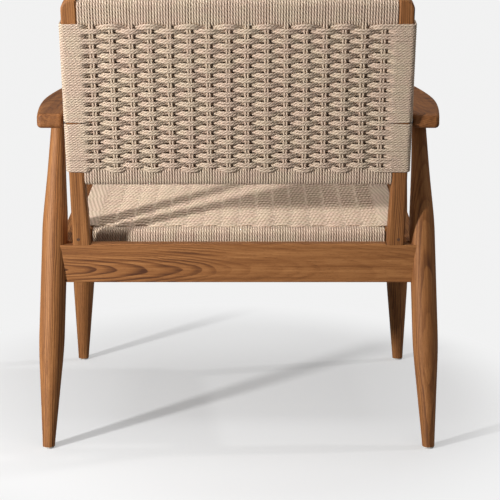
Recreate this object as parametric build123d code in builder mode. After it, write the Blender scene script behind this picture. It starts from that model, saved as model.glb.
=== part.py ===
from build123d import *
from math import cos, radians, sin, tan
import os

os.makedirs("parts", exist_ok=True)

# Lounge chair with a teak frame and a woven cord seat and back, in millimetres.
# Origin on the floor under the middle of the chair, +Z up, the sitter faces -Y.
# Left and right are the sitter's, so left is +X.

SIDES = (("left", 1), ("right", -1))

# Legs: turned spindles that lean in and towards the middle of the chair as they rise
foot_x = 332.5
head_x = 314.7
rear_foot_y, rear_head_y = 294, 185
front_foot_y, front_head_y = -266, -232
leg_tip_radius, leg_body_radius, leg_neck_radius = 10.7, 22.2, 11.1
leg_body_from, leg_body_to = 200, 378
glide_radius, glide_height = 9.5, 3
glide_shank_radius, glide_shank_length = 1.5, 12

# Arms
arm_underside, arm_thickness = 560, 25
arm_rear_y, arm_front_y = 285, -339
arm_round = 7
arm_tenon_radius, arm_tenon_length, arm_tenon_root = 9, 15, 8
arm_inner_x = 293.3  # inner edge of an arm where its bolt passes

# Rails of the base
board = 22  # thickness of all four rails
apron_rear_y, apron_bottom, apron_top = 245, 285, 354
apron_relief, apron_relief_from = 2.5, 255.5  # lowered ends that the back's feet stand on
front_rail_y, front_rail_bottom, front_rail_top = -233, 294, 360
side_rail_inner_x, side_rail_height = 293, 60
rail_end_x, rail_round = 312, 2.5
tenon_thickness = 10

# Seat frame: a flat frame that rises towards the front
seat_slope = 5.5
seat_rear_y, seat_rear_z = 190, 348.4  # middle of the rear edge, cord included
seat_depth = 480
seat_half_width = 285.5  # wood only
seat_side_width, seat_side_half_height = 26, 20.8
seat_cross_width, seat_cross_half_height = 22, 16.4  # lower by the cord wound on them
seat_weave_inset = 18  # from the outer edge of a cross rail to the first weft
stretcher_width, stretcher_half_height = 40, 8
cross_rail_round, seat_side_round, stretcher_round = 7, 4, 5

# Back frame: leans back on the rear apron
back_lean = 12.43
back_foot_y = 246  # rear face at the top of the apron
back_half_depth = 14
back_top = 432
stile_outer_x, stile_inner_x, stile_foot_inner_x = 287.9, 261.6, 257
stile_taper_from = 104
back_rail_half_depth = 9.6
back_rail_round, stile_round, stile_corner_round = 7, 4, 18
bottom_rail_from, bottom_rail_to = 111, 139
top_rail_from, top_rail_to = 388, 427.5

# Woven cord
cord = 4.4
weave_from, weave_to = 134, 392  # stretch of the back that the weft covers
weave_thickness = 4.6
seat_front, seat_rear = cord - seat_depth, -cord  # outer faces of the cross rails' wood
seat_inner_x = seat_half_width - seat_side_width

# Fittings
dowel_radius, dowel_length = 4, 32
back_dowel_heights = (118, 132, 399, 418)
seat_dowel_z = (-6.5, 6.5)
bolt_radius, bolt_y, bolt_z = 3, 274.5, 572.5
bolt_end_x, barrel_x = 324, 316
bolt_head_radius, bolt_head_height = 5.5, 4
barrel_radius, barrel_top, barrel_recess = 5, 580, 1
spacer_radius = 5.5
foot_dowel_radius, foot_dowel_length = 5, 50
foot_dowel_x, foot_dowel_y = 272.5, 234
plug_radius, plug_depth = 3, 5
plug_x, plug_height = 277.5, 8
screw_radius, screw_head_radius, screw_head_height = 2, 4, 2
cleat_inner_x, cleat_height = 268, 18
cleat_rear_y, cleat_front_y = -12, -370
cleat_screw_y, cleat_screw_length = (-60, -190, -320), 38
seat_screw_x, seat_screw_y, seat_screw_length = 274, (-110, -260), 36
tack_radius, tack_length = 0.9, 12
tack_head_radius, tack_head_height = 2.2, 1
tack_z = 4  # off the middle of the frames, clear of the dowels
seat_tack_inset, back_tack_inset = 45, 20


def finish(piece, name):
    """Label a finished sub-part and write it."""
    piece.part.label = name
    export_step(piece.part, f"parts/{name}.step")


back_plane = Plane(
    origin=(
        0,
        back_foot_y - back_half_depth * cos(radians(back_lean)),
        apron_top + back_half_depth * sin(radians(back_lean)),
    ),
    x_dir=(1, 0, 0),
    z_dir=(0, -cos(radians(back_lean)), sin(radians(back_lean))),
)  # local y runs up the back, local z points forward
seat_plane = Plane(
    origin=(0, seat_rear_y, seat_rear_z),
    x_dir=(1, 0, 0),
    z_dir=(0, sin(radians(seat_slope)), cos(radians(seat_slope))),
)  # local y runs to the rear, local z points up


def on_axis(foot, head, height):
    """The point of a leg's axis at a height above the floor."""
    return foot + (head - foot) * (height / arm_underside)


def leg_blank(foot, head):
    """A leg before its mortises are cut, with the round tenon that enters the arm."""
    along = (head - foot).normalized()
    across = Plane(origin=foot, z_dir=along)
    profile_plane = Plane(origin=foot, x_dir=across.x_dir, z_dir=-across.y_dir)
    top = (head - foot).length + leg_neck_radius
    with BuildPart() as blank:
        with BuildSketch(profile_plane):
            with BuildLine():
                lower = Spline(
                    (leg_tip_radius - 0.6, -leg_tip_radius),
                    (leg_tip_radius + 2.1, 37),
                    (leg_tip_radius + 8.3, 129),
                    (leg_body_radius, leg_body_from),
                    tangents=[(0.03, 1), (0, 1)],
                )
                body = Line(lower @ 1, (leg_body_radius, leg_body_to))
                upper = Spline(
                    body @ 1,
                    (20.6, 418),
                    (17.1, 468),
                    (leg_neck_radius, top),
                    tangents=[(0, 1), (-0.06, 1)],
                )
                Polyline(upper @ 1, (0, top), (0, -leg_tip_radius), lower @ 0)
            make_face()
        revolve(axis=Axis(foot, along))
        split(bisect_by=Plane.XY.offset(glide_height), keep=Keep.TOP)
        split(bisect_by=Plane.XY.offset(arm_underside), keep=Keep.BOTTOM)
        with BuildSketch(Plane(origin=on_axis(foot, head, arm_underside - arm_tenon_root), z_dir=along)):
            Circle(arm_tenon_radius)
        extrude(amount=arm_tenon_root + arm_tenon_length)
    return blank.part


def side_rail_top(y):
    """Height of the side rails' top edge, which rises with the seat."""
    return apron_top + (apron_rear_y - board - y) * tan(radians(seat_slope))


# ---- Tenons of the base, each a box given by its middle and its size ----
tenon_x = 304
apron_tenon = ((tenon_x, apron_rear_y - board / 2, 302), (28, tenon_thickness, 22))
front_tenon = ((tenon_x, front_rail_y - board / 2, 314), (28, tenon_thickness, 24))
rear_side_tenon = ((308, 215, 331), (tenon_thickness, 28, 26))
front_side_tenon = ((308, -229, 366), (tenon_thickness, 30, 26))


def mirrored(tenon, side):
    """A tenon's middle on the given side of the chair, and its size."""
    (x, y, z), size = tenon
    return (side * x, y, z), size


# ---- Legs and their glides ----
blanks = {}
leg_feet = {}
for name, side in SIDES:
    for row, foot_y, head_y in (
        ("rear", rear_foot_y, rear_head_y),
        ("front", front_foot_y, front_head_y),
    ):
        leg_foot = Vector(side * foot_x, foot_y, 0)
        leg_head = Vector(side * head_x, head_y, arm_underside)
        leg_feet[row, side] = leg_foot
        blanks[row, side] = leg_blank(leg_foot, leg_head)
        tenons = (
            (apron_tenon, rear_side_tenon) if row == "rear" else (front_tenon, front_side_tenon)
        )
        with BuildPart() as leg:
            add(blanks[row, side])
            for tenon in tenons:
                middle, size = mirrored(tenon, side)
                with Locations(middle):
                    Box(*size, mode=Mode.SUBTRACT)
            with BuildSketch(Plane.XY.offset(glide_height)):
                with Locations((leg_foot.X, leg_foot.Y)):
                    Circle(glide_shank_radius)
            extrude(amount=glide_shank_length, mode=Mode.SUBTRACT)
        finish(leg, f"{row}_leg_{name}")

with BuildPart() as foot_glides:
    with BuildSketch():
        with Locations(*[(p.X, p.Y) for p in leg_feet.values()]):
            Circle(glide_radius)
    extrude(amount=glide_height)
    chamfer(foot_glides.edges().group_by(Axis.Z)[0], length=0.8)
    with BuildSketch(Plane.XY.offset(glide_height)):
        with Locations(*[(p.X, p.Y) for p in leg_feet.values()]):
            Circle(glide_shank_radius)
    extrude(amount=glide_shank_length)
finish(foot_glides, "foot_glides")

# ---- Rails of the base ----
with BuildPart() as rear_apron:
    with BuildSketch(Plane.YZ.offset(-rail_end_x)):
        with Locations((apron_rear_y - board / 2, (apron_bottom + apron_top) / 2)):
            RectangleRounded(board, apron_top - apron_bottom, rail_round)
    extrude(amount=2 * rail_end_x)
    for name, side in SIDES:
        relief_length = rail_end_x - apron_relief_from
        with Locations(
            (side * (apron_relief_from + relief_length / 2), apron_rear_y - board / 2, apron_top)
        ):
            Box(relief_length, board, 2 * apron_relief, mode=Mode.SUBTRACT)
        add(blanks["rear", side], mode=Mode.SUBTRACT)
        middle, size = mirrored(apron_tenon, side)
        with Locations(middle):
            Box(*size)
        with Locations((side * foot_dowel_x, foot_dowel_y, apron_top)):
            Cylinder(foot_dowel_radius, foot_dowel_length, mode=Mode.SUBTRACT)
finish(rear_apron, "rear_apron")

with BuildPart() as front_rail:
    with BuildSketch(Plane.YZ.offset(-rail_end_x)):
        with Locations((front_rail_y - board / 2, (front_rail_bottom + front_rail_top) / 2)):
            RectangleRounded(board, front_rail_top - front_rail_bottom, rail_round)
    extrude(amount=2 * rail_end_x)
    for name, side in SIDES:
        add(blanks["front", side], mode=Mode.SUBTRACT)
        middle, size = mirrored(front_tenon, side)
        with Locations(middle):
            Box(*size)
finish(front_rail, "front_rail")

# ---- Screws: their places are shared by the pieces that they pass through ----
cleat_top = -seat_side_half_height - cord - 0.4  # in the seat's plane, just under the cord
cleat_middle_x = (cleat_inner_x + side_rail_inner_x) / 2


def cleat_screw(y, side):
    """Plane of one screw that holds a cleat to its side rail, its z axis along the screw."""
    start = seat_plane.from_local_coords(
        Vector(side * cleat_inner_x, y, cleat_top - cleat_height / 2)
    )
    return Plane(origin=start, z_dir=(side, 0, 0))


def seat_screw(y, side):
    """Plane of one screw that holds the seat frame down on a cleat."""
    start = seat_plane.from_local_coords(Vector(side * seat_screw_x, y, cleat_top - cleat_height))
    return Plane(origin=start, z_dir=seat_plane.z_dir)


def cut_screw(place, length, mode=Mode.SUBTRACT):
    """A countersunk screw at a plane's origin, cut from or added to the current part."""
    with BuildSketch(place) as shank:
        Circle(screw_radius)
    extrude(shank.sketch, amount=length, mode=mode)
    with BuildSketch(place) as head:
        Circle(screw_head_radius)
    extrude(head.sketch, amount=screw_head_height, taper=45, mode=mode)


for name, side in SIDES:
    with BuildPart() as side_rail:
        near = side_rail_inner_x if side > 0 else -side_rail_inner_x - board
        with BuildSketch(Plane.YZ.offset(near)):
            rear_y, front_y = apron_rear_y - board, front_rail_y
            Polygon(
                (rear_y, side_rail_top(rear_y)),
                (front_y, side_rail_top(front_y)),
                (front_y, side_rail_top(front_y) - side_rail_height),
                (rear_y, side_rail_top(rear_y) - side_rail_height),
                align=None,
            )
        extrude(amount=board)
        fillet(side_rail.edges().filter_by(lambda edge: edge.length > 400), rail_round)
        for row, tenon in (("rear", rear_side_tenon), ("front", front_side_tenon)):
            add(blanks[row, side], mode=Mode.SUBTRACT)
            middle, size = mirrored(tenon, side)
            with Locations(middle):
                Box(*size)
        for y in cleat_screw_y:
            cut_screw(cleat_screw(y, side), cleat_screw_length)
    finish(side_rail, f"side_rail_{name}")

    with BuildPart() as seat_cleat:
        with BuildSketch(seat_plane.offset(cleat_top - cleat_height)):
            with Locations((side * cleat_middle_x, (cleat_rear_y + cleat_front_y) / 2)):
                Rectangle(side_rail_inner_x - cleat_inner_x, cleat_rear_y - cleat_front_y)
        extrude(amount=cleat_height)
        for y in cleat_screw_y:
            cut_screw(cleat_screw(y, side), cleat_screw_length)
        for y in seat_screw_y:
            cut_screw(seat_screw(y, side), seat_screw_length)
    finish(seat_cleat, f"seat_cleat_{name}")

with BuildPart() as cleat_screws:
    for name, side in SIDES:
        for y in cleat_screw_y:
            cut_screw(cleat_screw(y, side), cleat_screw_length, mode=Mode.ADD)
finish(cleat_screws, "cleat_screws")

with BuildPart() as seat_screws:
    for name, side in SIDES:
        for y in seat_screw_y:
            cut_screw(seat_screw(y, side), seat_screw_length, mode=Mode.ADD)
finish(seat_screws, "seat_screws")

# ---- Arms: flat paddles, widest past the middle, with softly rounded edges ----
for name, side in SIDES:
    with BuildPart() as arm:
        with BuildSketch(Plane.XY.offset(arm_underside)) as arm_plan:
            with BuildLine():
                outer = Spline(
                    (side * 338, arm_rear_y),
                    (side * 352.3, 157),
                    (side * 360.3, 26),
                    (side * 358, -90),
                    (side * 347, -240),
                    (side * 332, arm_front_y),
                )
                inner = Spline(
                    (side * 286, arm_front_y),
                    (side * 284, -215),
                    (side * 288, 0),
                    (side * 294, arm_rear_y),
                    tangents=[(0, 1), (side * 0.01, 1)],
                )
                Line(outer @ 1, inner @ 0)
                Line(inner @ 1, outer @ 0)
            make_face()
            fillet(arm_plan.vertices().group_by(Axis.Y)[-1], 8)
            fillet(arm_plan.vertices().group_by(Axis.Y)[0], 21)
        extrude(amount=arm_thickness)
        fillet(arm.faces().filter_by(Plane.XY).edges(), arm_round)
        for row in ("rear", "front"):
            add(blanks[row, side], mode=Mode.SUBTRACT)
        bolt_plane = Plane(origin=(side * (stile_inner_x + 5), bolt_y, bolt_z), z_dir=(side, 0, 0))
        with BuildSketch(bolt_plane):
            Circle(bolt_radius)
        extrude(amount=bolt_end_x - stile_inner_x - 5, mode=Mode.SUBTRACT)
        with BuildSketch(Plane.XY.offset(arm_underside)):
            with Locations((side * barrel_x, bolt_y)):
                Circle(barrel_radius)
        extrude(amount=barrel_top - arm_underside, mode=Mode.SUBTRACT)
    finish(arm, f"arm_{name}")

with BuildPart() as arm_bolts:
    for name, side in SIDES:
        with BuildSketch(Plane(origin=(side * stile_inner_x, bolt_y, bolt_z), z_dir=(side, 0, 0))):
            Circle(bolt_radius)
        extrude(amount=barrel_x - barrel_radius - stile_inner_x)
        with BuildSketch(Plane(origin=(side * stile_inner_x, bolt_y, bolt_z), z_dir=(-side, 0, 0))):
            Circle(bolt_head_radius)
        extrude(amount=bolt_head_height)
finish(arm_bolts, "arm_bolts")

with BuildPart() as arm_barrel_nuts:
    with BuildSketch(Plane.XY.offset(arm_underside + barrel_recess)):
        with Locations(*[(side * barrel_x, bolt_y) for name, side in SIDES]):
            Circle(barrel_radius)
    extrude(amount=barrel_top - arm_underside - barrel_recess)
finish(arm_barrel_nuts, "arm_barrel_nuts")

with BuildPart() as arm_spacers:
    for name, side in SIDES:
        with BuildSketch(Plane(origin=(side * stile_outer_x, bolt_y, bolt_z), z_dir=(side, 0, 0))):
            Circle(spacer_radius)
            Circle(bolt_radius, mode=Mode.SUBTRACT)
        extrude(amount=arm_inner_x - stile_outer_x)
finish(arm_spacers, "arm_spacers")

# ---- Tacks that hold the ends of the cord on the inner faces of the frames ----
def tack_places(side):
    """Planes of one side's tacks, their z axes along the tacks into the wood."""
    spots = (
        (seat_plane, seat_inner_x, -seat_tack_inset),
        (seat_plane, seat_inner_x, seat_front + seat_tack_inset),
        (back_plane, stile_inner_x, weave_from + back_tack_inset),
        (back_plane, stile_inner_x, weave_to - back_tack_inset),
    )
    for frame_plane, x, y in spots:
        start = frame_plane.from_local_coords(Vector(side * x, y, tack_z))
        yield Plane(origin=start, z_dir=(side, 0, 0))


def tack_holes(mode=Mode.SUBTRACT):
    """The shanks of all the tacks, cut from or added to a part."""
    for name, side in SIDES:
        for place in tack_places(side):
            with BuildSketch(place) as shank:
                Circle(tack_radius)
            extrude(shank.sketch, amount=tack_length, mode=mode)


# ---- Back frame ----
def back_dowel_holes(mode=Mode.SUBTRACT):
    """The dowels that join the back's rails to its stiles, cut from or added to a part."""
    for name, side in SIDES:
        for height in back_dowel_heights:
            start = back_plane.from_local_coords(
                Vector(side * (stile_inner_x - dowel_length / 2), height, 0)
            )
            with BuildSketch(Plane(origin=start, z_dir=(side, 0, 0))) as dowel:
                Circle(dowel_radius)
            extrude(dowel.sketch, amount=dowel_length, mode=mode)


for name, side in SIDES:
    with BuildPart() as back_stile:
        with BuildSketch(back_plane.offset(-back_half_depth)) as stile_face:
            Polygon(
                (side * stile_outer_x, -20),
                (side * stile_outer_x, back_top),
                (side * stile_inner_x, back_top),
                (side * stile_inner_x, stile_taper_from),
                (side * stile_foot_inner_x, -20),
                align=None,
            )
            top_corners = stile_face.vertices().group_by(Axis.Y)[-1].sort_by(Axis.X)
            fillet(top_corners[-1] if side > 0 else top_corners[0], stile_corner_round)
        extrude(amount=2 * back_half_depth)
        long_edges = back_stile.edges().filter_by(lambda edge: edge.length > 100)
        fillet(long_edges, stile_round)
        split(bisect_by=Plane.XY.offset(apron_top - apron_relief), keep=Keep.TOP)
        back_dowel_holes()
        bolt_start = (side * (stile_inner_x - 10), bolt_y, bolt_z)
        with BuildSketch(Plane(origin=bolt_start, z_dir=(side, 0, 0))):
            Circle(bolt_radius)
        extrude(amount=50, mode=Mode.SUBTRACT)
        with Locations((side * foot_dowel_x, foot_dowel_y, apron_top)):
            Cylinder(foot_dowel_radius, foot_dowel_length, mode=Mode.SUBTRACT)
        with BuildSketch(back_plane.offset(-back_half_depth)):
            with Locations((side * plug_x, plug_height)):
                Circle(plug_radius)
        extrude(amount=plug_depth, mode=Mode.SUBTRACT)
        tack_holes()
    finish(back_stile, f"back_stile_{name}")

for name, low, high in (
    ("back_bottom_rail", bottom_rail_from, bottom_rail_to),
    ("back_top_rail", top_rail_from, top_rail_to),
):
    with BuildPart() as back_rail:
        with BuildSketch(back_plane.offset(-back_rail_half_depth)):
            with Locations((0, (low + high) / 2)):
                Rectangle(2 * stile_inner_x, high - low)
        extrude(amount=2 * back_rail_half_depth)
        fillet(back_rail.edges().filter_by(Axis.X), back_rail_round)
        back_dowel_holes()
    finish(back_rail, name)

with BuildPart() as back_dowels:
    back_dowel_holes(mode=Mode.ADD)
finish(back_dowels, "back_dowels")

with BuildPart() as foot_dowels:
    with Locations(*[(side * foot_dowel_x, foot_dowel_y, apron_top) for name, side in SIDES]):
        Cylinder(foot_dowel_radius, foot_dowel_length)
    chamfer(foot_dowels.edges().filter_by(GeomType.CIRCLE), 1)
finish(foot_dowels, "foot_dowels")

with BuildPart() as foot_plugs:
    with BuildSketch(back_plane.offset(-back_half_depth)):
        with Locations(*[(side * plug_x, plug_height) for name, side in SIDES]):
            Circle(plug_radius)
    extrude(amount=plug_depth)
finish(foot_plugs, "foot_plugs")

# ---- Seat frame ----
stretcher_y = (seat_front + seat_rear) / 2


def seat_dowel_holes(mode=Mode.SUBTRACT):
    """The dowels that join the seat frame's cross rails to its side rails."""
    places = [(seat_rear - seat_cross_width / 2, z) for z in seat_dowel_z]
    places += [(seat_front + seat_cross_width / 2, z) for z in seat_dowel_z]
    places += [(stretcher_y, 0)]
    for name, side in SIDES:
        for y, z in places:
            start = seat_plane.from_local_coords(Vector(side * (seat_inner_x - dowel_length / 2), y, z))
            with BuildSketch(Plane(origin=start, z_dir=(side, 0, 0))) as dowel:
                Circle(dowel_radius)
            extrude(dowel.sketch, amount=dowel_length, mode=mode)


for name, side in SIDES:
    with BuildPart() as seat_side_rail:
        with BuildSketch(seat_plane.offset(-seat_side_half_height)):
            with Locations((side * (seat_half_width - seat_side_width / 2), stretcher_y)):
                Rectangle(seat_side_width, seat_rear - seat_front)
        extrude(amount=2 * seat_side_half_height)
        fillet(seat_side_rail.edges().filter_by(lambda edge: edge.length > 100), seat_side_round)
        seat_dowel_holes()
        for y in seat_screw_y:
            cut_screw(seat_screw(y, side), seat_screw_length)
        tack_holes()
    finish(seat_side_rail, f"seat_side_rail_{name}")

for name, middle_y in (
    ("seat_rear_rail", seat_rear - seat_cross_width / 2),
    ("seat_front_rail", seat_front + seat_cross_width / 2),
):
    with BuildPart() as seat_cross_rail:
        with BuildSketch(seat_plane.offset(-seat_cross_half_height)):
            with Locations((0, middle_y)):
                Rectangle(2 * seat_inner_x, seat_cross_width)
        extrude(amount=2 * seat_cross_half_height)
        fillet(seat_cross_rail.edges().filter_by(Axis.X), cross_rail_round)
        seat_dowel_holes()
    finish(seat_cross_rail, name)

with BuildPart() as seat_stretcher:
    with BuildSketch(seat_plane.offset(-stretcher_half_height)):
        with Locations((0, stretcher_y)):
            Rectangle(2 * seat_inner_x, stretcher_width)
    extrude(amount=2 * stretcher_half_height)
    fillet(seat_stretcher.edges().filter_by(Axis.X), stretcher_round)
    seat_dowel_holes()
finish(seat_stretcher, "seat_stretcher")

with BuildPart() as seat_dowels:
    seat_dowel_holes(mode=Mode.ADD)
finish(seat_dowels, "seat_dowels")

with BuildPart() as cord_tacks:
    tack_holes(mode=Mode.ADD)
    for name, side in SIDES:
        for place in tack_places(side):
            with BuildSketch(place):
                Circle(tack_head_radius)
            extrude(amount=-tack_head_height)
finish(cord_tacks, "cord_tacks")

# ---- Cord on the back: two woven sheets that meet round the stiles, and wrapped rails ----
back_weave_x = stile_outer_x + cord
for name, near in (
    ("back_rear_weave", -back_half_depth - weave_thickness),
    ("back_front_weave", back_half_depth),
):
    with BuildPart() as back_weave:
        with BuildSketch(back_plane.offset(near)):
            with Locations((0, (weave_from + weave_to) / 2)):
                Rectangle(2 * back_weave_x, weave_to - weave_from)
        extrude(amount=weave_thickness)
    finish(back_weave, name)

for name, side in SIDES:
    with BuildPart() as back_side_weave:
        with BuildSketch(back_plane.offset(-back_half_depth)):
            with Locations((side * (stile_outer_x + cord / 2), (weave_from + weave_to) / 2)):
                Rectangle(cord, weave_to - weave_from)
        extrude(amount=2 * back_half_depth)
        parting = Plane(origin=(side * (stile_outer_x - 5), bolt_y, bolt_z), z_dir=(side, 0, 0))
        with BuildSketch(parting):
            Circle(spacer_radius + 0.6)
        extrude(amount=20, mode=Mode.SUBTRACT)
    finish(back_side_weave, f"back_side_weave_{name}")

for name, low, high in (
    ("bottom_rail_wrap", bottom_rail_from, bottom_rail_to),
    ("top_rail_wrap", top_rail_from, top_rail_to),
):
    with BuildPart() as back_wrap:
        with BuildSketch(back_plane.offset(-back_rail_half_depth - cord)):
            with Locations((0, (low + high) / 2)):
                Rectangle(2 * stile_inner_x, high - low + 2 * cord)
        extrude(amount=2 * (back_rail_half_depth + cord))
        fillet(back_wrap.edges().filter_by(Axis.X), back_rail_round + cord)
        with BuildSketch(back_plane.offset(-back_rail_half_depth)):
            with Locations((0, (low + high) / 2)):
                Rectangle(2 * stile_inner_x, high - low)
        extrude(amount=2 * back_rail_half_depth, mode=Mode.SUBTRACT)
    finish(back_wrap, name)

# ---- Cord on the seat: the same, over its four rails ----
weave_depth = seat_depth - 2 * seat_weave_inset
seat_weave_x = seat_half_width + cord
for name, low in (
    ("seat_top_weave", seat_side_half_height),
    ("seat_under_weave", -seat_side_half_height - cord),
):
    with BuildPart() as seat_weave:
        with BuildSketch(seat_plane.offset(low)):
            with Locations((0, stretcher_y)):
                Rectangle(2 * seat_weave_x, weave_depth)
        extrude(amount=cord)
        for side_name, side in SIDES:
            for y in seat_screw_y:
                cut_screw(seat_screw(y, side), seat_screw_length)
    finish(seat_weave, name)

for name, side in SIDES:
    with BuildPart() as seat_side_weave:
        with BuildSketch(seat_plane.offset(-seat_side_half_height)):
            with Locations((side * (seat_half_width + cord / 2), stretcher_y)):
                Rectangle(cord, weave_depth)
        extrude(amount=2 * seat_side_half_height)
    finish(seat_side_weave, f"seat_side_weave_{name}")

for name, middle_y in (
    ("seat_rear_wrap", seat_rear - seat_cross_width / 2),
    ("seat_front_wrap", seat_front + seat_cross_width / 2),
):
    with BuildPart() as seat_wrap:
        with BuildSketch(seat_plane.offset(-seat_cross_half_height - cord)):
            with Locations((0, middle_y)):
                Rectangle(2 * seat_inner_x, seat_cross_width + 2 * cord)
        extrude(amount=2 * (seat_cross_half_height + cord))
        fillet(seat_wrap.edges().filter_by(Axis.X), cross_rail_round + cord)
        with BuildSketch(seat_plane.offset(-seat_cross_half_height)):
            with Locations((0, middle_y)):
                Rectangle(2 * seat_inner_x, seat_cross_width)
        extrude(amount=2 * seat_cross_half_height, mode=Mode.SUBTRACT)
    finish(seat_wrap, name)
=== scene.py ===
from math import pi, radians

import bpy
import numpy as np
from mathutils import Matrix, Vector


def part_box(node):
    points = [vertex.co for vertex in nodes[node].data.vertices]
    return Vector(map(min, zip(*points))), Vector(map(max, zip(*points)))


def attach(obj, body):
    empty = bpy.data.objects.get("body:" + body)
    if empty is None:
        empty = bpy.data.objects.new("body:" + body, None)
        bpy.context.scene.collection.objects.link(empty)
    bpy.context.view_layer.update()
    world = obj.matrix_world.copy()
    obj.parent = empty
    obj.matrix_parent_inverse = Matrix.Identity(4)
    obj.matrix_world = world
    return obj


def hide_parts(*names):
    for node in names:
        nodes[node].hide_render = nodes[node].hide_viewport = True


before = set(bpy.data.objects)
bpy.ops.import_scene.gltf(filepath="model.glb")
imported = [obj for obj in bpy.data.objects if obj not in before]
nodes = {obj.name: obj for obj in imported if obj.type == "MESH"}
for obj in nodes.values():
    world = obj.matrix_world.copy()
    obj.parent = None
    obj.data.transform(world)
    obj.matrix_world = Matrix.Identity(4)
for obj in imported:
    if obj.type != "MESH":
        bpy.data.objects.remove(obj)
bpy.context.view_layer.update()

scene = bpy.context.scene
scene.view_settings.view_transform = "Standard"
print("frame loaded with", len(nodes), "nodes")


# Materials are written as sums on sockets.

class Wire:
    def __init__(self, finish, socket):
        self.finish = finish
        self.socket = socket

    def maths(self, operation, *values):
        return self.finish.add("ShaderNodeMath", {"operation": operation}, dict(enumerate(values)))

    def __add__(self, other):
        return self.maths("ADD", self, other)

    def __sub__(self, other):
        return self.maths("SUBTRACT", self, other)

    def __rsub__(self, other):
        return self.maths("SUBTRACT", other, self)

    def __mul__(self, other):
        return self.maths("MULTIPLY", self, other)

    def __truediv__(self, other):
        return self.maths("DIVIDE", self, other)

    def __pow__(self, other):
        return self.maths("POWER", self, other)

    __radd__ = __add__
    __rmul__ = __mul__


class Finish:
    def __init__(self, name, world=None):
        self.material = world or bpy.data.materials.new(name)
        self.material.use_nodes = True
        self.tree = self.material.node_tree
        self.tree.nodes.clear()

    def add(self, kind, settings=None, sockets=None, result=0):
        node = self.tree.nodes.new(kind)
        for key, value in (settings or {}).items():
            if key == "stops":
                stops = node.color_ramp.elements
                stops[0].position, stops[0].color = value[0]
                stops[1].position, stops[1].color = value[-1]
                for place, colour in value[1:-1]:
                    stops.new(place).color = colour
            else:
                setattr(node, key, value)
        for key, value in (sockets or {}).items():
            if isinstance(value, Wire):
                self.tree.links.new(value.socket, node.inputs[key])
            else:
                node.inputs[key].default_value = value
        return Wire(self, node.outputs[result]) if len(node.outputs) else None

    def dot(self, a, b):
        return self.add("ShaderNodeVectorMath", {"operation": "DOT_PRODUCT"}, {0: a, 1: b}, "Value")

    def vector(self, x, y, z):
        return self.add("ShaderNodeCombineXYZ", None, {0: x, 1: y, 2: z})

    def noise(self, vector, scale=1, detail=2, rough=0.5):
        return self.add("ShaderNodeTexNoise", None,
                        {"Vector": vector, "Scale": scale, "Detail": detail, "Roughness": rough})

    def ease(self, value, low, high, start=0, end=1):
        return self.add("ShaderNodeMapRange", {"interpolation_type": "SMOOTHSTEP"},
                        {"Value": value, "From Min": low, "From Max": high, "To Min": start, "To Max": end})

    def mix(self, factor, a, b):
        return self.add("ShaderNodeMix", {"data_type": "RGBA"}, {0: factor, 6: a, 7: b}, 2)

    def close(self, shader):
        self.add("ShaderNodeOutputMaterial", None, {"Surface": shader})
        return self.material


# Places read from the CAD nodes.

def corners(node):
    points = np.empty(len(nodes[node].data.vertices) * 3)
    nodes[node].data.vertices.foreach_get("co", points)
    return points.reshape(-1, 3)


def middle(node):
    low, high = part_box(node)
    return (low + high) / 2


def legLine(node, endSlice=0.004):  # the direction from a leg's foot to its head
    points = corners(node)
    foot = points[points[:, 2] < points[:, 2].min() + endSlice].mean(0)
    head = points[points[:, 2] > points[:, 2].max() - endSlice].mean(0)
    return Vector(head - foot).normalized()


class Panel:  # axes across, up and out of a cord panel, from the two CAD sheets on either side of it
    def __init__(self, faceNode, behindNode):
        self.out = (middle(faceNode) - middle(behindNode)).normalized()
        self.across = Vector((1, 0, 0))
        self.up = self.across.cross(self.out)
        self.origin = (middle(faceNode) + middle(behindNode)) / 2
        self.axes = np.array([self.across, self.up, self.out])

    def span(self, node):
        local = (corners(node) - np.array(self.origin)) @ self.axes.T
        return local.min(0), local.max(0)

    def place(self, x, up, out):
        return np.array(self.origin) + np.stack([x, up, out], -1) @ self.axes


# Wood

teakLook = {
    "pale": (0.44, 0.195, 0.065, 1),
    "middle": (0.245, 0.092, 0.0255, 1),
    "dark": (0.078, 0.024, 0.007, 1),
    "ringWidth": 0.0034,
    "ringWobble": 0.012,
    "ringStrength": 0.62,
    "streakStrength": 0.5,
    "fibreStrength": 0.38,
    "roughness": 0.6,
    "shine": 0.28,
    "pore": (0.07, 0.026, 0.009, 1),
    "bump": 0.35,
    "bumpDepth": 0.0004,
}


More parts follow.
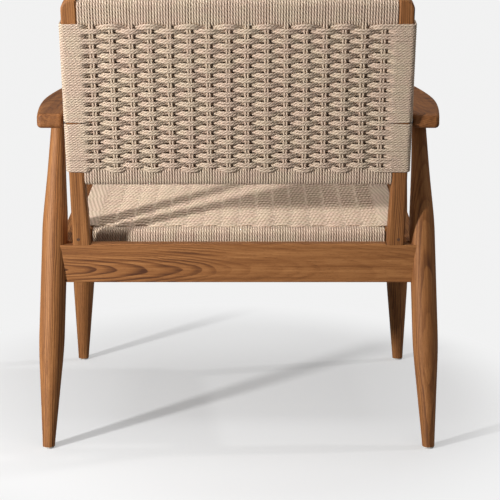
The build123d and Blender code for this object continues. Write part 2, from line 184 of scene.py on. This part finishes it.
def teakFinish(name, along, pith, lean=(0, 0, 0), seed=0, toneAndPaintedLight=0.0, rings=1.0, fade=None):
    look = teakLook
    wood = Finish(name)
    along = Vector(along).normalized()
    across = along.orthogonal().normalized()
    depth = along.cross(across)
    heart = (along + Vector(lean)).normalized()  # the line the growth rings run round
    place = wood.add("ShaderNodeTexCoord", result="Object")
    u, v, w = (wood.dot(place, axis) + seed * 1.7 for axis in (along, across, depth))

    bend = wood.noise(wood.vector(u * 5, v * 16, w * 16), detail=3)
    offset = wood.add("ShaderNodeVectorMath", {"operation": "SUBTRACT"}, {0: place, 1: pith})
    turned = wood.add("ShaderNodeVectorMath", {"operation": "CROSS_PRODUCT"}, {0: offset, 1: heart})
    radius = wood.add("ShaderNodeVectorMath", {"operation": "LENGTH"}, {0: turned}, "Value")
    radius = radius + (bend - 0.5) * look["ringWobble"]
    uneven = wood.noise(wood.vector(radius * 90, seed, 0), detail=1)
    years = radius / look["ringWidth"] + uneven * 2.2
    year = years.maths("FRACT", years)
    lateWood = wood.ease(year, 0.25, 0.9) * wood.ease(year, 1.0, 0.92)
    patch = wood.noise(wood.vector(u * 5, v * 50, w * 50), detail=2)
    season = wood.noise(wood.vector(radius * 260, seed + 5, 0), detail=1)
    lateWood = lateWood * wood.ease(patch, 0.3, 0.62, 0.25, 1)
    lateWood = lateWood * wood.ease(season, 0.35, 0.6, 0.35, 1) * rings
    if fade:
        lateWood = lateWood * wood.ease(wood.dot(place, along), *fade)

    streak = wood.noise(wood.vector(u * 3, v * 130, w * 130), detail=3, rough=0.6)
    fibre = wood.noise(wood.vector(u * 22, v * 900, w * 900), detail=3, rough=0.65)
    pore = wood.noise(wood.vector(u * 130, v * 2400, w * 2400), detail=1)
    pore = wood.ease(pore, 0.62, 0.7)

    # toneAndPaintedLight moves the whole piece lighter or darker: partly the teak's own tone, partly painted
    # light and painted shade
    shade = (0.5 + toneAndPaintedLight + (0.3 - lateWood) * look["ringStrength"]
             + (streak - 0.5) * look["streakStrength"] * 2 + (fibre - 0.5) * look["fibreStrength"] * 2)
    stops = [(0, look["dark"]), (0.5, look["middle"]), (1, look["pale"])]
    colour = wood.add("ShaderNodeValToRGB", {"stops": stops}, {"Fac": shade})
    colour = wood.mix(pore * 0.5, colour, look["pore"])
    relief = fibre * 0.5 - pore * 0.8 - lateWood * 0.2
    normal = wood.add("ShaderNodeBump", None, {
        "Height": relief, "Strength": look["bump"], "Distance": look["bumpDepth"]})
    rough = look["roughness"] + (fibre - 0.5) * 0.25 + pore * 0.15
    shader = wood.add("ShaderNodeBsdfPrincipled", None, {
        "Base Color": colour, "Roughness": rough, "Normal": normal,
        "Specular IOR Level": look["shine"]})
    return wood.close(shader)


def dress(node, material):
    for held in nodes[node].material_slots:
        held.material = material


# how each teak piece was cut: which way its grain runs, where the heart of the tree lay
# from its middle, and how the growth rings lean
alongX, alongY = (1, 0, 0), (0, 1, 0)
stileRun = Panel("back_rear_weave", "back_front_weave").up
seatRun = Panel("seat_top_weave", "seat_under_weave").up
teakCuts = {
    # the tones here are partly the teak's own variation and partly painted light: the left pieces a little
    # lighter and the right pieces a little darker, as the key light falls from the left
    "rear_leg_left": {"along": legLine("rear_leg_left"), "heart": (0.09, 0.004, 0), "lean": (0.004, 0, 0),
                      "toneAndPaintedLight": 0.06},
    "rear_leg_right": {"along": legLine("rear_leg_right"), "heart": (0.01, -0.035, 0),
                       "lean": (0.012, 0.05, 0), "toneAndPaintedLight": -0.04, "rings": 0.7},
    "front_leg_left": {"along": legLine("front_leg_left"), "heart": (0.08, 0.01, 0), "lean": (0, 0.01, 0)},
    "front_leg_right": {"along": legLine("front_leg_right"), "heart": (-0.07, 0.03, 0), "lean": (0.01, 0, 0)},
    "rear_apron": {"along": alongX, "heart": (0, -0.026, -0.012), "lean": (0, 0.085, 0), "toneAndPaintedLight": -0.04,
                   "rings": 1.35, "fade": (0.0, 0.09, 0.22, 1)},
    "front_rail": {"along": alongX, "heart": (0, 0.05, -0.03), "lean": (0, 0.04, 0.02)},
    "side_rail_left": {"along": alongY, "heart": (-0.06, 0, 0.02), "lean": (0.05, 0, 0.02)},
    "side_rail_right": {"along": alongY, "heart": (0.06, 0, -0.02), "lean": (-0.06, 0, 0.01)},
    # the arms' tone of -0.22 is painted shade: the whole arm made darker to stand for less light falling on
    # it
    "arm_left": {"along": alongY, "heart": (0.01, 0, -0.06), "lean": (0.01, 0, 0.05),
                 "toneAndPaintedLight": -0.22, "rings": 0.5},
    "arm_right": {"along": alongY, "heart": (-0.02, 0, -0.05), "lean": (0.02, 0, -0.06),
                  "toneAndPaintedLight": -0.22, "rings": 0.5},
    "back_stile_left": {"along": stileRun, "heart": (0.07, -0.01, 0), "lean": (0.01, 0, 0), "toneAndPaintedLight": 0.04},
    "back_stile_right": {"along": stileRun, "heart": (-0.06, 0.02, 0), "lean": (0.01, 0.01, 0),
                         "toneAndPaintedLight": -0.06},
    "back_top_rail": {"along": alongX, "heart": (0, 0.05, 0.02), "lean": (0, 0.02, 0)},
    "back_bottom_rail": {"along": alongX, "heart": (0, 0.04, 0.03), "lean": (0, 0.02, 0)},
    "seat_side_rail_left": {"along": seatRun, "heart": (0.05, 0, 0.03), "lean": (0.02, 0, 0.01)},
    "seat_side_rail_right": {"along": seatRun, "heart": (-0.05, 0, 0.02), "lean": (0.02, 0, 0)},
    "seat_rear_rail": {"along": alongX, "heart": (0, 0.04, 0.03), "lean": (0, 0.01, 0.01)},
    "seat_front_rail": {"along": alongX, "heart": (0, 0.05, 0.02), "lean": (0, 0.02, 0)},
    "seat_stretcher": {"along": alongX, "heart": (0, 0.03, 0.05), "lean": (0, 0, 0.02)},
    "seat_cleat_left": {"along": seatRun, "heart": (0.04, 0, 0.03), "lean": (0, 0, 0.02)},
    "seat_cleat_right": {"along": seatRun, "heart": (-0.04, 0, 0.03), "lean": (0.02, 0, 0)},
}
for seed, (node, cut) in enumerate(teakCuts.items()):
    heart = middle(node) + Vector(cut["heart"])
    dress(node, teakFinish("teak_" + node, cut["along"], heart, cut["lean"], seed,
                           cut.get("toneAndPaintedLight", 0), cut.get("rings", 1), cut.get("fade")))
print("teak finished on", len(teakCuts), "pieces")


# Small parts

smallLook = {
    "beech": ((0.5, 0.34, 0.19, 1), (0.66, 0.5, 0.32, 1)),  # dark and pale
    "plug": ((0.06, 0.025, 0.01, 1), (0.13, 0.055, 0.022, 1)),
    "steel": ((0.42, 0.42, 0.43, 1), (0.62, 0.61, 0.58, 1)),
    "nylon": ((0.62, 0.61, 0.57, 1), (0.8, 0.79, 0.75, 1)),
}


def plainWood(name, dark, pale):
    wood = Finish(name)
    place = wood.add("ShaderNodeTexCoord", result="Object")
    grain = wood.noise(place, 700, 3, 0.6)
    colour = wood.mix(wood.ease(grain, 0.3, 0.7), dark, pale)
    normal = wood.add("ShaderNodeBump", None, {"Height": grain, "Strength": 0.2, "Distance": 0.0003})
    return wood.close(wood.add("ShaderNodeBsdfPrincipled", None, {
        "Base Color": colour, "Roughness": 0.5 + (grain - 0.5) * 0.3, "Normal": normal}))


def platedSteel():
    steel = Finish("plated_steel")
    place = steel.add("ShaderNodeTexCoord", result="Object")
    scuff = steel.noise(place, 900, 3, 0.6)
    colour = steel.mix(scuff, *smallLook["steel"])
    return steel.close(steel.add("ShaderNodeBsdfPrincipled", None, {
        "Base Color": colour, "Metallic": 1.0, "Roughness": 0.3 + (scuff - 0.5) * 0.3}))


def paleNylon():
    nylon = Finish("pale_nylon")
    place = nylon.add("ShaderNodeTexCoord", result="Object")
    scuff = nylon.noise(place, 500, 3, 0.6)
    colour = nylon.mix(scuff, *smallLook["nylon"])
    return nylon.close(nylon.add("ShaderNodeBsdfPrincipled", None, {
        "Base Color": colour, "Roughness": 0.45 + (scuff - 0.5) * 0.3}))


beech = plainWood("beech_dowel", *smallLook["beech"])
darkPlug = plainWood("dark_plug", *smallLook["plug"])
steel, nylon = platedSteel(), paleNylon()
for node in ("back_dowels", "seat_dowels", "foot_dowels"):
    dress(node, beech)
for node in ("arm_barrel_nuts", "arm_bolts", "arm_spacers", "cleat_screws", "seat_screws", "cord_tacks"):
    dress(node, steel)
dress("foot_plugs", darkPlug)
dress("foot_glides", nylon)
print("dowels, plugs, metal and glides finished")


# Cord

cordLook = {
    "rose": (0.63, 0.475, 0.37, 1),
    "straw": (0.64, 0.515, 0.385, 1),
    # the seat's cord is the back's cord made lighter by this gain: painted light for the seat's lit top
    "seatPaintedLightGain": 1.12,
    "fleck": (0.45, 0.32, 0.215, 1),
    # painted shade for the grooves between the plies
    "grooveShade": (0.24, 0.155, 0.09, 1),
    "plies": 3,
    "lay": 0.021,  # length of one full twist
    "roughness": 0.85,
    "bump": 0.8,
    "bumpDepth": 0.0006,
}


def cordFinish(name, paintedLightGain=1.0):
    look = cordLook
    cord = Finish(name)
    skin = cord.add("ShaderNodeUVMap", {"uv_map": "cord"})
    spin = cord.dot(skin, (1, 0, 0))
    length = cord.dot(skin, (0, 1, 0))
    place = cord.add("ShaderNodeTexCoord", result="Object")
    turn = (spin + length / look["lay"]) * look["plies"]
    fold = turn.maths("FRACT", turn)
    offCrown = fold - 0.5
    side = offCrown.maths("ABSOLUTE", offCrown) * 2  # 0 on the crown of a ply, 1 in the groove
    height = 1 - side ** 3
    fluff = cord.noise(cord.vector(turn * 4, length * 260, spin * 3), detail=3, rough=0.6)
    drift = cord.noise(place, 34, 2, 0.55)
    speck = cord.noise(place, 420, 2, 0.6)
    # a gain above 1 lightens every cord colour: painted light
    rose, straw, fleck = (
        [part * paintedLightGain for part in look[tint][:3]] + [1] for tint in ("rose", "straw", "fleck"))
    colour = cord.mix(cord.ease(drift, 0.35, 0.65), rose, straw)
    colour = cord.mix((speck - 0.35) * 0.35, colour, fleck)
    # painted shade: the cord is darkened in the grooves between its plies
    colour = cord.mix(cord.ease(side, 0.5, 1.0) * 0.85, colour, look["grooveShade"])
    normal = cord.add("ShaderNodeBump", None, {
        "Height": height + fluff * 0.35, "Strength": look["bump"], "Distance": look["bumpDepth"]})
    return cord.close(cord.add("ShaderNodeBsdfPrincipled", None, {
        "Base Color": colour, "Roughness": look["roughness"] + (fluff - 0.5) * 0.2, "Normal": normal,
        "IOR": 1.4}))


paperCord = {
    "back": cordFinish("paper_cord_back"),
    "seat": cordFinish("paper_cord_seat_painted_light", cordLook["seatPaintedLightGain"]),
}
cordRadius = 0.0021
cordPress = {"warp": (1, 1), "wrap": (1.13, 0.97), "weft": (1.13, 0.98)}  # width and thickness, by radius


def pressed(kind):
    return tuple(cordRadius * share for share in cordPress[kind])


def easeNumbers(value):  # a smooth 0 to 1
    value = np.clip(value, 0, 1)
    return value * value * (3 - 2 * value)


def roundedLoop(halfWide, halfDeep, corner, step):
    # a closed rectangle with round corners: even steps on the straights, five to a corner
    wide, deep = halfWide - corner, halfDeep - corner
    bend = np.linspace(0, pi / 2, 6)[1:-1]
    runs = []
    for centre, start, run in (((wide, deep), 0, deep), ((-wide, deep), 1, wide),
                               ((-wide, -deep), 2, deep), ((wide, -deep), 3, wide)):
        count = max(1, round(2 * run / step))
        turned = start * pi / 2
        here = np.array([np.cos(turned), np.sin(turned)]) * corner + centre
        before = here - np.array([-np.sin(turned), np.cos(turned)]) * 2 * run
        runs.append(before + (here - before) * np.linspace(0, 1, count + 1)[:, None])
        runs.append(np.array(centre) + corner * np.stack([np.cos(turned + bend), np.sin(turned + bend)], -1))
    return np.concatenate(runs).T


def cordTubes(name, loops, flatAxis, radii, standsFor, sides=8):
    # loops: closed centre lines, each with the same number of points
    # radii: along flatAxis and away from it
    loops = np.asarray(loops)
    count, rings, _ = loops.shape
    run = np.roll(loops, -1, 1) - np.roll(loops, 1, 1)
    run /= np.linalg.norm(run, axis=2, keepdims=True)
    first = np.array(flatAxis) - (run @ np.array(flatAxis))[..., None] * run
    first /= np.linalg.norm(first, axis=2, keepdims=True)
    second = np.cross(run, first)
    angle = np.arange(sides) * 2 * pi / sides
    points = (loops[:, :, None] + first[:, :, None] * np.cos(angle)[:, None] * radii[0]
              + second[:, :, None] * np.sin(angle)[:, None] * radii[1])
    index = np.arange(count * rings * sides).reshape(count, rings, sides)
    ahead, beside = np.roll(index, -1, 1), np.roll(index, -1, 2)
    faces = np.stack([index, beside, np.roll(beside, -1, 1), ahead], -1)
    steps = np.linalg.norm(np.roll(loops, -1, 1) - loops, axis=2)
    reached = np.concatenate([np.zeros((count, 1)), np.cumsum(steps, 1)], 1)
    around = np.arange(sides + 1) / sides
    skin = np.zeros((count, rings, sides, 4, 2))
    skin[..., 0, 0] = skin[..., 3, 0] = around[:-1]
    skin[..., 1, 0] = skin[..., 2, 0] = around[1:]
    skin[..., 0, 1] = skin[..., 1, 1] = reached[:, :-1, None]
    skin[..., 2, 1] = skin[..., 3, 1] = reached[:, 1:, None]
    skin[..., 0] += np.arange(count)[:, None, None, None] * 0.37 % 1  # each cord's plies start elsewhere

    mesh = bpy.data.meshes.new(name)
    mesh.vertices.add(points.size // 3)
    mesh.vertices.foreach_set("co", points.ravel())
    mesh.loops.add(faces.size)
    mesh.loops.foreach_set("vertex_index", faces.ravel())
    mesh.polygons.add(faces.size // 4)
    mesh.polygons.foreach_set("loop_start", np.arange(0, faces.size, 4))
    mesh.polygons.foreach_set("use_smooth", np.ones(faces.size // 4, bool))
    mesh.uv_layers.new(name="cord").data.foreach_set("uv", skin.ravel())
    mesh.update(calc_edges=True)
    mesh.validate()
    mesh.materials.append(paperCord["seat" if name.startswith("seat") else "back"])
    piece = bpy.data.objects.new(name, mesh)
    scene.collection.objects.link(piece)
    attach(piece, "root")
    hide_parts(*standsFor)
    return piece


backWeave = {
    "name": "back", "faces": ("back_rear_weave", "back_front_weave"),
    "sides": ("back_side_weave_left", "back_side_weave_right"),
    "rails": (("back_bottom_rail", "bottom_rail_wrap"), ("back_top_rail", "top_rail_wrap")),
    "railRound": 0.007, "stileRound": 0.004, "stileDepth": 0.014,
    "warpPairs": 16, "endWraps": 4, "wrapsBetween": 5, "weftPairs": 31,
    "underLevel": 0.0075, "insideLevel": 0.0161, "tuck": 0.0055, "spread": 0.00015,
    "bands": 4, "step": 0.0029, "seed": 11, "parting": "arm_spacers",
}
seatWeave = {
    "name": "seat", "faces": ("seat_top_weave", "seat_under_weave"),
    "sides": ("seat_side_weave_left", "seat_side_weave_right"),
    "rails": (("seat_rear_rail", "seat_rear_wrap"), ("seat_front_rail", "seat_front_wrap")),
    "railRound": 0.007, "stileRound": 0.004, "stileDepth": 0.0208,
    "warpPairs": 16, "endWraps": 4, "wrapsBetween": 5, "weftPairs": 54,
    "underLevel": 0.0165, "insideLevel": 0.0215, "tuck": 0.0075, "spread": 0.0001,
    "bands": 5, "step": 0.0033, "seed": 29, "parting": None,
}
handWork = {  # how far the weaver's hand strays from even
    "turnPlace": 0.00015, "turnTilt": 0.012, "turnLift": 0.00012, "columnDrift": 0.0011, "waver": 0.00022,
}
wrapStep = 0.008
partingLook = {  # how the wefts open round a spacer
    "openFrom": 0.238, "openOver": 0.05, "open": 0.0018,
    "atSpacer": 0.0068, "spacerReach": 0.011, "cornerInset": 0.006, "cornerOver": 0.008, "fade": 0.02,
}


class Columns:  # the warp pairs, and how each strays on its way from rail to rail
    def __init__(self, warpX, chance):
        self.places = warpX.mean(1)
        self.count = np.arange(len(self.places))
        most = handWork["columnDrift"]
        self.drift = chance.uniform(-most, most, (2, len(self.places)))
        self.sway = chance.uniform(0, 2 * pi, len(self.places))

    def strayed(self, column, reach):
        bow = np.sin(reach * pi) * self.drift[0][column]
        snake = np.sin(reach * 2 * pi + self.sway[column]) * self.drift[1][column] * 0.6
        return bow + snake * np.sin(reach * pi)


def railTurns(plan):  # how many turns of cord a rail carries, and which of them are warps
    pairs, ends, between = plan["warpPairs"], plan["endWraps"], plan["wrapsBetween"]
    turns = 2 * ends + pairs * 2 + (pairs - 1) * between
    turn = np.arange(turns)
    inside = (turn >= ends) & (turn < turns - ends)
    return turns, inside & ((turn - ends) % (between + 2) < 2)


def wrapRails(plan, panel, chance, wrapX, isWarp, railSpans):
    r, turns = cordRadius, len(wrapX)
    for (_, sleeve), (low, high) in zip(plan["rails"], railSpans):
        halfUp, halfOut = (high[1] - low[1]) / 2 + r, (high[2] - low[2]) / 2 + r
        up, out = roundedLoop(halfUp, halfOut, plan["railRound"] + r, wrapStep)
        tilt = chance.uniform(-handWork["turnTilt"], handWork["turnTilt"], turns)[:, None]
        lift = chance.uniform(0, handWork["turnLift"], turns)[:, None]
        x = wrapX[:, None] + tilt * up[None]
        upward = (high[1] + low[1]) / 2 + up * (1 + lift / halfUp)
        loops = panel.place(x, upward, out * (1 + lift / halfOut))
        cordTubes(sleeve + "_cord", loops[~isWarp], panel.across, pressed("wrap"), (sleeve,))
    print(plan["name"], "rails wrapped,", turns, "turns each")


def stringWarps(plan, panel, columns, warpX, railSpans, lowest, highest):
    r = cordRadius
    halfOut = (railSpans[0][1][2] - railSpans[0][0][2]) / 2 + r
    up, out = roundedLoop((highest - lowest) / 2 + r, halfOut, plan["railRound"] + r, plan["step"])
    up = up + (highest + lowest) / 2
    reach = np.clip((up - lowest) / (highest - lowest), 0, 1)
    x = warpX[:, :, None] + columns.strayed(columns.count[:, None], reach[None])[:, None, :]
    loops = panel.place(x, up + 0 * x, out + 0 * x).reshape(-1, up.size, 3)
    half = len(loops) // 2
    for part, some in enumerate((loops[:half], loops[half:])):
        cordTubes("%s_warps_%d" % (plan["name"], part + 1), some, panel.across, pressed("warp"),
                  plan["faces"])


def makeWay(panel, spacers, home, x, out, outerX):  # how far a weft moves aside for a spacer
    look = partingLook
    low, high = panel.span(spacers)
    gap = home - (low[1] + high[1]) / 2
    outside = easeNumbers((np.abs(x) - outerX + look["cornerInset"]) / look["cornerOver"])
    nearSpacer = np.exp(-((out - (low[2] + high[2]) / 2) / look["spacerReach"]) ** 2) * outside
    opening = easeNumbers((np.abs(x) - look["openFrom"]) / look["openOver"])
    push = look["open"] * opening * (1 - nearSpacer) + look["atSpacer"] * nearSpacer
    return np.sign(gap) * push * np.exp(-abs(gap) / look["fade"])


def weaveWefts(plan, panel, chance, columns, innerX, lowest, highest):
    # each strand goes round both stiles and across both faces
    r = cordRadius
    sheetLow, sheetHigh = panel.span(plan["sides"][0])
    outerX = sheetHigh[0] - 2 * r
    strands = plan["weftPairs"] * 2
    overLevel, underLevel, insideLevel = plan["stileDepth"] + r, plan["underLevel"], plan["insideLevel"]
    x, out = roundedLoop(outerX + r, overLevel, plan["stileRound"] + r, plan["step"])
    face, between = np.sign(out), np.abs(x) < innerX
    strandPitch = (sheetHigh[1] - sheetLow[1]) / strands
    knots = np.concatenate([[-innerX], columns.places, [innerX]])
    loops = []
    for strand in range(strands):
        pair, twin = strand // 2, strand % 2 * 2 - 1
        home = sheetLow[1] + (strand + 0.5) * strandPitch
        places = knots.copy()
        places[1:-1] += columns.strayed(columns.count, np.clip((home - lowest) / (highest - lowest), 0, 1))
        over = (pair + columns.count) % 2 == 0
        near, behind = (  # over a warp on one face, under it on the other
            np.concatenate([[overLevel], np.where(side, insideLevel, underLevel), [overLevel]])
            for side in (over, ~over))
        cell = np.clip(np.searchsorted(places, x) - 1, 0, len(places) - 2)
        along = easeNumbers(((x - places[cell]) / (places[cell + 1] - places[cell]) - 0.1) / 0.8)
        level = np.where(face > 0, near[cell] * (1 - along) + near[cell + 1] * along,
                         behind[cell] * (1 - along) + behind[cell + 1] * along)
        lifted = np.where(between, np.clip((level - underLevel) / (insideLevel - underLevel), 0, 1), 1)
        level = np.where(between, face * level, out)
        edge = {0: 1, plan["weftPairs"] - 1: -1}.get(pair, 0)
        wander = chance.uniform(-1, 1, 6)
        waver = sum(wander[i] * np.sin(x * (9 + 14 * i) + 6 * wander[i + 3]) for i in range(3))
        apart = np.where(between, plan["spread"] * (2 * lifted - 0.8), 0)
        up = home + waver * handWork["waver"] + twin * apart + edge * plan["tuck"] * (1 - lifted)
        if plan["parting"]:
            up = up + makeWay(panel, plan["parting"], home, x, out, outerX)
        loops.append(panel.place(x, up, level))
    for band, some in enumerate(np.array_split(np.array(loops), plan["bands"])):
        cordTubes("%s_weft_%d" % (plan["name"], band + 1), some, panel.up, pressed("weft"),
                  (*plan["faces"], *plan["sides"]))
    print(plan["name"], "woven with", strands, "strands")


def weavePanel(plan):
    panel = Panel(*plan["faces"])
    chance = np.random.RandomState(plan["seed"])
    wrapLow, wrapHigh = panel.span(plan["rails"][0][1])
    turns, isWarp = railTurns(plan)
    pitch = (wrapHigh[0] - wrapLow[0]) / turns
    stray = chance.uniform(-handWork["turnPlace"], handWork["turnPlace"], turns)
    wrapX = wrapLow[0] + pitch * (np.arange(turns) + 0.5) + stray
    warpX = wrapX[isWarp].reshape(-1, 2)
    railSpans = [panel.span(rail) for rail, _ in plan["rails"]]
    lowest, highest = min(low[1] for low, _ in railSpans), max(high[1] for _, high in railSpans)

    wrapRails(plan, panel, chance, wrapX, isWarp, railSpans)
    columns = Columns(warpX, chance)
    stringWarps(plan, panel, columns, warpX, railSpans, lowest, highest)
    weaveWefts(plan, panel, chance, columns, wrapHigh[0], lowest, highest)


weavePanel(backWeave)
weavePanel(seatWeave)


# Floor, light and camera

studio = {
    "sky": 0.17, "topPower": 30, "topPlace": (0.1, 0.2, 2.6), "topSize": 2.2,
    "keyPlace": (1.88, 1.75, 1.02), "keyAim": (0, 0.1, 0.4), "keyPower": 76, "keySize": 0.17,
    "fillTravel": (0.65, 0.14, -0.56), "fillPower": 0.5, "fillSoftness": 3,
    "cameraPlace": (-0.02, 2.7737, 0.8744), "cameraTilt": 78.13, "lens": 107.1,
}
floorLook = {
    "reach": 60, "far": 0.885, "near": 0.35, "paint": 0.5, "bounce": 0.3,
    "middle": (0.04, 0.0, 0), "halfSize": (0.58, 0.66, 1), "edge": (0.75, 1.15),
}

floorMesh = bpy.data.meshes.new("floor")
reach = floorLook["reach"]
floorMesh.from_pydata([(-reach, -reach, 0), (reach, -reach, 0), (reach, reach, 0), (-reach, reach, 0)],
                      [], [(0, 1, 2, 3)])
floor = bpy.data.objects.new("floor", floorMesh)
scene.collection.objects.link(floor)
paint = Finish("floor_paint")
spot = paint.add("ShaderNodeTexCoord", result="Object")
spot = paint.add("ShaderNodeVectorMath", {"operation": "SUBTRACT"}, {0: spot, 1: floorLook["middle"]})
spot = paint.add("ShaderNodeVectorMath", {"operation": "DIVIDE"}, {0: spot, 1: floorLook["halfSize"]})
spread = paint.add("ShaderNodeVectorMath", {"operation": "LENGTH"}, {0: spot}, "Value")
away = paint.ease(spread, *floorLook["edge"])
white = (1, 1, 1, 1)
farGlow = paint.add("ShaderNodeEmission", None, {"Color": white, "Strength": floorLook["far"]})
nearGlow = paint.add("ShaderNodeEmission", None, {"Color": white, "Strength": floorLook["near"]})
matt = paint.add("ShaderNodeBsdfDiffuse", None, {"Color": (floorLook["paint"],) * 3 + (1,)})
shaded = paint.add("ShaderNodeAddShader", None, {0: matt, 1: nearGlow})
seen = paint.add("ShaderNodeMixShader", None, {0: away, 1: shaded, 2: farGlow})
dull = paint.add("ShaderNodeBsdfDiffuse", None, {"Color": (floorLook["bounce"],) * 3 + (1,)})
direct = paint.add("ShaderNodeLightPath", result="Is Camera Ray")
floorMesh.materials.append(paint.close(paint.add("ShaderNodeMixShader", None, {0: direct, 1: dull, 2: seen})))

sky = bpy.data.worlds.new("sky")
air = Finish("sky", sky)
glow = air.add("ShaderNodeBackground", None, {"Color": white, "Strength": studio["sky"]})
backdrop = air.add("ShaderNodeBackground", None, {"Color": white, "Strength": floorLook["far"]})
direct = air.add("ShaderNodeLightPath", result="Is Camera Ray")
air.add("ShaderNodeOutputWorld", None, {
    "Surface": air.add("ShaderNodeMixShader", None, {0: direct, 1: glow, 2: backdrop})})
scene.world = sky


def lamp(name, kind, power, **settings):
    data = bpy.data.lights.new(name, kind)
    data.energy = power
    for key, value in settings.items():
        setattr(data, key, value)
    light = bpy.data.objects.new(name, data)
    scene.collection.objects.link(light)
    return light


def aim(light, direction):
    light.rotation_euler = Vector(direction).to_track_quat("-Z", "Y").to_euler()


key = lamp("key", "AREA", studio["keyPower"], shape="DISK", size=studio["keySize"])
key.location = studio["keyPlace"]
aim(key, Vector(studio["keyAim"]) - key.location)
top = lamp("top", "AREA", studio["topPower"], shape="SQUARE", size=studio["topSize"])
top.location = studio["topPlace"]
aim(top, (0, 0, -1))
fill = lamp("fill", "SUN", studio["fillPower"], angle=radians(studio["fillSoftness"]))
aim(fill, studio["fillTravel"])

cameraData = bpy.data.cameras.new("camera")
cameraData.lens = studio["lens"]
cameraData.sensor_width = 36
camera = bpy.data.objects.new("camera", cameraData)
camera.location = studio["cameraPlace"]
camera.rotation_euler = (radians(studio["cameraTilt"]), 0, radians(180))
scene.collection.objects.link(camera)
scene.camera = camera

print("studio ready")
